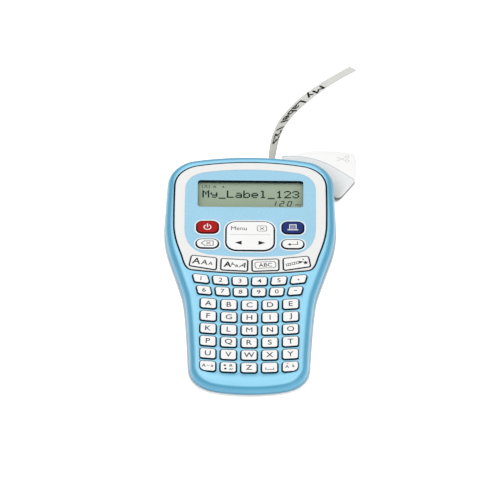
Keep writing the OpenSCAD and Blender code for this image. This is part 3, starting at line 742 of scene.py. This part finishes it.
# Display ring
band = Shape()
soft = 0.35
ring_holes = [round_hole(band, c, r, RING_TOP, RING_FLOOR + 0.02, 0)
              for n in RING_KEYS for c, r, _ in KEYS[n]]
out_rings = [band.ring(inset(RING_OUT, d), z) for d, z in
             ((0, RING_FLOOR + 0.02), (0, RING_TOP - soft), (0.1, RING_TOP - 0.1), (soft, RING_TOP))]
in_rings = [band.ring(inset(RING_IN, d), z) for d, z in
            ((0, RING_FLOOR + 0.02), (0, RING_TOP - soft), (-0.1, RING_TOP - 0.1), (-soft, RING_TOP))]
band.loft(out_rings)
band.loft([list(reversed(r)) for r in in_rings])
band.region(inset(RING_OUT, soft), ring_holes + [inset(RING_IN, -soft)], RING_TOP)
band.region(RING_OUT, key_holes(RING_KEYS, KEY_GAP) + [RING_IN], RING_FLOOR + 0.02)
place(band.build("display_ring_band", [WHITE], flip_check=False), "body", "white_plastic", "display_ring")

# Shadow in the joint round the ring, which runs over the rounded rim at the sides:
# distance in from the ring's edge, height
JOINT_PROFILE = ((0.02, 0.03), (-0.5, 0.05), (-1.05, 0.03), (-1.1, -0.4))
joint = Shape()
joint.loft([joint.ring(inset(RING_OUT, d), z) for d, z in JOINT_PROFILE])
place(joint.build("ring_joint", [SEAM], flip_check=False), "body", "blue_shell")

# Light rims round the upper keys
for n in HALOED:
    rim = Shape()
    corners, radii, _ = KEYS[n][0]
    profile = [(0.5, 0.0), (0.52, 0.07), (0.8, 0.11), (1.15, 0.09), (1.25, 0.0)]
    rim.loft([rim.ring(rounded(corners, radii, g, 8), z) for g, z in profile], closed=True)
    place(rim.build(n + "_rim", [HALO]), "body", "white_plastic")

# ---------- display ----------
GLYPHS = {
    "M": "#...# ##.## #.#.# #.#.# #...# #...# #...#",
    "y": "..... ..... #...# #...# .#### ....# .###.",
    "_": "..... ..... ..... ..... ..... ..... #####",
    "L": "#.... #.... #.... #.... #.... #.... #####",
    "a": "..... ..... .###. ....# .#### #...# .####",
    "b": "#.... #.... #.##. ##..# #...# #...# ####.",
    "e": "..... ..... .###. #...# ##### #.... .###.",
    "l": ".##.. ..#.. ..#.. ..#.. ..#.. ..#.. .###.",
    "1": "..#.. .##.. ..#.. ..#.. ..#.. ..#.. .###.",
    "2": ".###. #...# ....# ...#. ..#.. .#... #####",
    "3": ".###. #...# ....# ..##. ....# #...# .###.",
}
LCD_TEXT = "My_Label_123"
SEGMENTS = {"1": "bc", "2": "abged", "0": "abcdef"}
marks = Shape()
DOT_X, DOT_Y, DOT = 0.86, 0.93, 1.12
for i, char in enumerate(LCD_TEXT):
    for r, line in enumerate(GLYPHS[char].split()):
        for c, dot in enumerate(line):
            if dot == "#":
                x = -30.4 + (6*i + c)*DOT_X
                y = 70.3 - r*DOT_Y - (DOT_Y if char == "_" else 0)
                q = [(x, y), (x + DOT*DOT_X, y), (x + DOT*DOT_X, y - DOT*DOT_Y), (x, y - DOT*DOT_Y)]
                marks.bm.faces.new([marks.bm.verts.new((*p, -2.78)) for p in q])
small = Legend(marks, 0, 0, -2.78, 0)
INDICATOR_Y = 73.4
for x, size in ((-28.2, 3.0), (-22.6, 2.2), (-17.2, 1.5)):
    foot = INDICATOR_Y - size/3
    small.line([(x - size/3, foot), (x, INDICATOR_Y + size/2), (x + size/3, foot)], 0.42)
for x in (-30.3, -26.1):
    small.line([(x, INDICATOR_Y - 1.3), (x, INDICATOR_Y + 1.5)], 0.34)
for i, digit in enumerate("120"):
    w, h, x0, y0, k = 2.1, 2.1, 13.4 + 4.9*i, 56.6, 0.22
    ends = {"a": ((0, 2), (1, 2)), "b": ((1, 2), (1, 1)), "c": ((1, 1), (1, 0)), "d": ((0, 0), (1, 0)),
            "e": ((0, 0), (0, 1)), "f": ((0, 1), (0, 2)), "g": ((0, 1), (1, 1))}
    for s in SEGMENTS[digit]:
        (ax, ay), (bx, by) = ends[s]
        a = Vector((x0 + ax*w + ay*h*k, y0 + ay*h))
        b = Vector((x0 + bx*w + by*h*k, y0 + by*h))
        d = (b - a)*0.12
        small.line([tuple(a + d), tuple(b - d)], 0.6)
small.words("mm", 2.4, 29.9, 57.7, shear=0.25, bold=0.04)
place(marks.build("display_characters", [LCD_INK], weld=False, flip_check=False), "body", "lcd_glass")

# ---------- cutter lever ----------
# Sections across the lever from its tongue to its right end, in face millimetres:
# far edge (x, y), fold (x, y), near edge (x, y, z)
LEVER_TOP, LEVER_LOW = -8.4, -22.2
LEVER_SECTIONS = [
    ((19.6, 107.6), (19.4, 107.2), (19.4, 106.2, -9.6)),
    ((28.0, 109.8), (26.0, 107.5), (25.8, 104.0, -12.0)),
    ((36.5, 112.6), (33.8, 106.9), (33.4, 101.5, -14.5)),
    ((46.5, 113.4), (42.3, 104.2), (40.5, 96.5, -17.0)),
    ((56.5, 112.4), (49.5, 100.2), (45.5, 90.0, -19.2)),
    ((64.6, 110.2), (57.4, 93.8), (49.5, 84.0, -20.4)),
    ((66.6, 104.5), (61.4, 90.3), (55.3, 79.6, -20.0)),
    ((67.0, 97.0), (64.4, 87.9), (61.6, 83.4, -15.4)),
    ((66.9, 90.0), (65.9, 86.7), (66.0, 86.4, -11.2))]


def along(points, steps):
    """Smooth curve through points (Catmull-Rom)."""
    out = []
    for i in range(len(points) - 1):
        a, b, c, d = (Vector(points[min(max(i + k, 0), len(points) - 1)]) for k in (-1, 0, 1, 2))
        for k in range(steps):
            t = k/steps
            out.append(0.5*(2*b + (c - a)*t + (2*a - 5*b + 4*c - d)*t*t + (3*b - a - 3*c + d)*t*t*t))
    return out + [Vector(points[-1])]


lever = Shape()
far, fold, near = (along([sec[k] for sec in LEVER_SECTIONS], 5) for k in range(3))
sections = []
for e, f, n in zip(far, fold, near):
    e3, f3 = Vector((*e, LEVER_TOP)), Vector((*f, LEVER_TOP))
    out = (e3 - f3).normalized()
    reach = (e3 - f3).length
    soft = min(0.9, reach*0.3)
    down = Vector((0, 0, 1))
    fall = n - f3
    thick = 2.0
    sections.append([e3 - down*(LEVER_TOP - LEVER_LOW), e3 - down*soft, e3 - out*soft*0.3 - down*soft*0.3,
                     e3 - out*soft, f3 + out*soft*0.4, f3 - down*0.1 + fall*0.01,
                     f3 + fall*min(0.6/fall.length, 0.4) - down*0.02, f3 + fall*0.6, n - fall*0.02,
                     n - down*0.3, n - down*thick, f3 - down*(thick + 0.8) - out*soft*0.2,
                     e3 - out*soft*1.6 - down*(thick + 0.6),
                     e3 - out*soft*1.6 - down*(LEVER_TOP - LEVER_LOW)])
rows = [lever.ring(sec) for sec in sections]
lever.loft(rows)
lever.cap(list(reversed(rows[0])))
lever.cap(rows[-1])
PIVOT = (29, 92)
hub = [arc(*PIVOT, 4.4, 360*k/32, 360*(k + 1)/32, 1)[0] for k in range(32)]
bore = [arc(*PIVOT, 2.06, 360*k/32, 360*(k + 1)/32, 1)[0] for k in range(32)]
lever.loft([lever.ring(hub, LEVER_LOW), lever.ring(hub, -14.2), lever.ring(bore, -14.2),
            lever.ring(bore, LEVER_LOW)], closed=True)
arm = [(26, 95), (33, 90), (40, 90), (40, 99), (30, 106), (25.6, 104)]
lever.loft([lever.ring(arm, -20), lever.ring(arm, -16.5)])
lever.cap(list(reversed(lever.ring(arm, -20))))
lever.cap(lever.ring(arm, -16.5))
place(lever.build("lever_cover", [LEVER_GLOW], sharp=50), "lever", "white_plastic", "cutter_lever")
# Painted shade on the lever: thin grey bands on the fold line and outline, and a wider grey band for the
# shaded lower edge that shows towards the lever's right end
lines = Shape()


def strip(path, toward, width, mat):
    """Flat band along a path of points, width millimetres wide towards the other path."""
    edge = [lines.bm.verts.new(p) for p in path]
    back = [lines.bm.verts.new(p + (q - p).normalized()*width) for p, q in zip(path, toward)]
    for i in range(len(edge) - 1):
        lines.bm.faces.new((edge[i], edge[i + 1], back[i + 1], back[i])).material_index = mat


lift = Vector((0, 0, 0.05))
SHADE_FROM = 25  # station along the near edge where the painted shade band of its underside begins
far_top = [Vector((*p, LEVER_TOP)) + lift for p in far]
fold_top = [Vector((*p, LEVER_TOP)) + lift for p in fold]
near_top = [p + lift for p in near]
strip(far_top, fold_top, 0.34, 0)
strip(fold_top, far_top, 0.3, 0)
strip(near_top[SHADE_FROM:], fold_top[SHADE_FROM:], 2.0, 1)
place(lines.build("lever_painted_shade_lines", [LINE_SHADE, EDGE_SHADE], weld=False), "lever", "white_plastic")
scissors = Shape()
mark = Legend(scissors, 58.2, 105.6, LEVER_TOP + 0.02, 0)
mark.line([(-3.4, 1.5), (1.6, -1.2)], 0.45)
mark.line([(-3.4, -1.7), (1.6, 1.4)], 0.45)
mark.line(arc(2.8, 1.9, 1.1, 0, 336, 14), 0.4, True)
mark.line(arc(2.8, -1.7, 1.1, 0, 336, 14), 0.4, True)
place(scissors.build("scissors_mark", [GREY_MARK_AND_GROOVE_SHADE], weld=False, flip_check=False), "lever", "white_plastic")

# ---------- printed tape ----------
TAPE_CURL = [((13.6, 104, -26), (13.6, 122.7, -26), (12.6, 141.7, -24.9), (22.6, 158, -22.6)),
             ((22.6, 158, -22.6), (31.1, 171.5, -20.7), (44.9, 181.1, -15.5), (65, 192.6, -12))]
ROLL_KEYS = ((0, 0), (0.17, 23), (0.33, 35), (0.5, 52), (0.67, 60), (1, 61))
TAPE_HALF, TAPE_SKIN = 6.0, 0.1


def tape_frames(steps):
    """Stations along the tape: place, direction, width direction, facing, distance so far."""
    stations = [(Vector((13.6, 60, -26)), Vector((0, 1, 0)), 0.0)]
    for c, curl in enumerate(TAPE_CURL):
        for k in range(0 if c == 0 else 1, steps + 1):
            u = k/steps
            ahead = Vector(bezier(curl, min(u + 0.02, 1))) - Vector(bezier(curl, max(u - 0.02, 0)))
            stations.append((Vector(bezier(curl, u)), ahead.normalized(), (c + u)/2))
    out, gone = [], 0.0
    for i, (p, d, share) in enumerate(stations):
        gone += (p - stations[i - 1][0]).length if i else 0
        up = (Vector((0, 0, 1)) - d*d.z).normalized()
        k = next(k for k in range(len(ROLL_KEYS) - 1) if share <= ROLL_KEYS[k + 1][0])
        (s0, a0), (s1, a1) = ROLL_KEYS[k], ROLL_KEYS[k + 1]
        roll = math.radians(a0 + (a1 - a0)*(share - s0)/(s1 - s0))
        width = up*math.cos(roll) + d.cross(up)*math.sin(roll)
        out.append((p, d, width, width.cross(d), gone))
    return out


stations = tape_frames(40)
ribbon = Shape()
loops = []
for p, d, w, m, _ in stations:
    wide, thin = w*TAPE_HALF, m*TAPE_SKIN
    loops.append(ribbon.ring([p + wide + thin, p + wide - thin, p - wide - thin, p - wide + thin]))
ribbon.loft(loops)
ribbon.cap(list(reversed(loops[0])))
ribbon.cap(loops[-1])
place(ribbon.build("tape_ribbon", [TAPE], sharp=60), "tape", "printed_tape", "label_tape")


def on_tape(x, y, lift):
    """Point at distance x back from the tape's end and y up its width."""
    at = stations[-1][4] - x
    i = next(i for i in range(1, len(stations)) if stations[i][4] >= at - 1e-6)
    a, b = stations[i - 1], stations[i]
    f = (at - a[4])/(b[4] - a[4])
    return a[0].lerp(b[0], f) + a[2].lerp(b[2], f)*y + a[3].lerp(b[3], f)*(TAPE_SKIN + lift)


# The M is set apart: emboldening would fill it, so it is laid twice, a little to the side
PRINT_SIZE = 10.5
M_SPACE, M_DROP, M_SHIFT = 1.1, 3.75, 0.3
words = text_mesh("y Label 123", PRINT_SIZE, bold=0.16)
capital = text_mesh("M", PRINT_SIZE)
left = min(v.co.x for v in words.vertices) - max(v.co.x for v in capital.vertices)
top = max(v.co.y for v in words.vertices)
capital.transform(Matrix.Translation((left - M_SPACE, top - M_DROP, 0)))
fine = bmesh.new()
fine.from_mesh(words)
fine.from_mesh(capital)
capital.transform(Matrix.Translation((M_SHIFT, 0, 0)))
fine.from_mesh(capital)
for k in range(-34, 30):
    whole = fine.verts[:] + fine.edges[:] + fine.faces[:]
    bmesh.ops.bisect_plane(fine, geom=whole, plane_co=(1.4*k, 0, 0), plane_no=(1, 0, 0))
fine.to_mesh(words)
fine.free()
PRINT_CENTRE = 55.5
for v in words.vertices:
    v.co = on_tape(PRINT_CENTRE + v.co.x, v.co.y, 0.13)
print_shape = Shape()
print_shape.add_mesh(words, Matrix.Identity(4), 0)
place(print_shape.build("tape_words", [PRINT], weld=False, flip_check=False), "tape", "printed_tape")


# ---------- CAD nodes carried over with better materials, and smoothed copies ----------
def smoothed(node, body, slot, material, sharp=35):
    """Replaces a faceted CAD shell by a copy shaded smooth between its facets."""
    source = frame["nodes"][node]
    shell = bmesh.new()
    shell.from_mesh(source.data)
    bmesh.ops.remove_doubles(shell, verts=shell.verts, dist=1e-6)
    mesh = bpy.data.meshes.new(node + "_smooth")
    shell.to_mesh(mesh)
    shell.free()
    mesh.transform(source.matrix_world)
    mesh.materials.clear()
    mesh.materials.append(material)
    for poly in mesh.polygons:
        poly.use_smooth = True
        poly.material_index = 0
    mesh.set_sharp_from_angle(angle=math.radians(sharp))
    obj = bpy.data.objects.new(node + "_smooth", mesh)
    bpy.context.scene.collection.objects.link(obj)
    return place(obj, body, slot, node)


smoothed("rear_case", "body", "rear_white", REAR)
smoothed("back_cover", "back_cover", "rear_white", REAR)
CARRIED = {
    "lcd_module": LCD, "key_mat": MAT, "main_board": BOARD, "cutter_blade": STEEL,
    "print_head": ALUMINIUM, "platen_roller": RUBBER, "idler_gear": GEAR, "motor_pinion": BRASS,
    "drive_motor": STEEL, "tape_cassette": CASSETTE, "batteries": CELL, "case_screws": STEEL,
    "lcd_window": WINDOW,
}
for node, material in CARRIED.items():
    mesh = frame["nodes"][node].data
    mesh.materials.clear()
    mesh.materials.append(material)

# ---------- floor, light and camera ----------
floor_mesh = bpy.data.meshes.new("floor")
HALF, BELOW = 3.0, -0.0006
floor_mesh.from_pydata([(x*HALF, y*HALF, BELOW) for x, y in ((-1, -1), (1, -1), (1, 1), (-1, 1))],
                       [], [(0, 1, 2, 3)])
floor = bpy.data.objects.new("floor", floor_mesh)
bpy.context.scene.collection.objects.link(floor)
PAPER = moulded("floor_paper", (0.8, 0.8, 0.8), 0.9, 0.004, 300, 0.01,
                Emission_Color=(1, 1, 1, 1), Emission_Strength=0.62)
floor_mesh.materials.append(PAPER)


def area_light(name, where, target, size, power):
    """Square white light at a place, turned to a target."""
    data = bpy.data.lights.new(name, "AREA")
    data.energy = power
    data.size = size
    obj = bpy.data.objects.new(name, data)
    obj.location = where
    aim = Vector(target) - Vector(where)
    obj.rotation_mode = "QUATERNION"
    obj.rotation_quaternion = aim.to_track_quat("-Z", "Y")
    bpy.context.scene.collection.objects.link(obj)
    return obj


area_light("key", (-0.5, 0.3, 1.1), (0, 0.02, 0), 0.9, 2.7)
area_light("fill", (0.7, -0.5, 0.9), (0, 0, 0), 0.9, 1.3)
area_light("front", (0.9, -0.8, 0.35), (0.04, 0.08, 0.03), 0.6, 1.2)


def studio_world(zenith, horizon):
    """White surroundings, brighter overhead than at the horizon."""
    world = bpy.data.worlds.new("studio")
    world.use_nodes = True
    nodes, links = world.node_tree.nodes, world.node_tree.links
    where = nodes.new("ShaderNodeTexCoord")
    split = nodes.new("ShaderNodeSeparateXYZ")
    ramp = nodes.new("ShaderNodeMapRange")
    ramp.interpolation_type = "SMOOTHSTEP"
    ramp.inputs["From Min"].default_value = -0.1
    ramp.inputs["From Max"].default_value = 0.9
    ramp.inputs["To Min"].default_value = horizon
    ramp.inputs["To Max"].default_value = zenith
    links.new(where.outputs["Generated"], split.inputs["Vector"])
    links.new(split.outputs["Z"], ramp.inputs["Value"])
    links.new(ramp.outputs["Result"], nodes["Background"].inputs["Strength"])
    nodes["Background"].inputs["Color"].default_value = (1, 1, 1, 1)
    return world


world = studio_world(1.0, 0.3)
bpy.context.scene.world = world
bpy.context.scene.view_settings.view_transform = "Standard"
bpy.context.scene.view_settings.look = "None"

# The photo is taken from far away: a long lens, level with the face plus a small roll
ELEVATION = math.radians(38.4)
ROLL = math.radians(0.5)
FRAME_WIDTH = 0.3143
LENS, SENSOR = 1000.0, 36.0
distance = FRAME_WIDTH*LENS/SENSOR
target = FACE @ Vector((0, 13.9, 0))
back = Vector((0, -math.cos(ELEVATION), math.sin(ELEVATION)))
camera_data = bpy.data.cameras.new("camera")
camera_data.lens = LENS
camera_data.sensor_width = SENSOR
camera_data.clip_start = 0.5
camera_data.clip_end = 60
camera = bpy.data.objects.new("camera", camera_data)
camera.rotation_mode = "QUATERNION"
camera.location = target + back*distance
camera.rotation_quaternion = ((-back).to_track_quat("-Z", "Y")
                              @ Matrix.Rotation(ROLL, 3, "Z").to_quaternion())
bpy.context.scene.collection.objects.link(camera)
bpy.context.scene.camera = camera
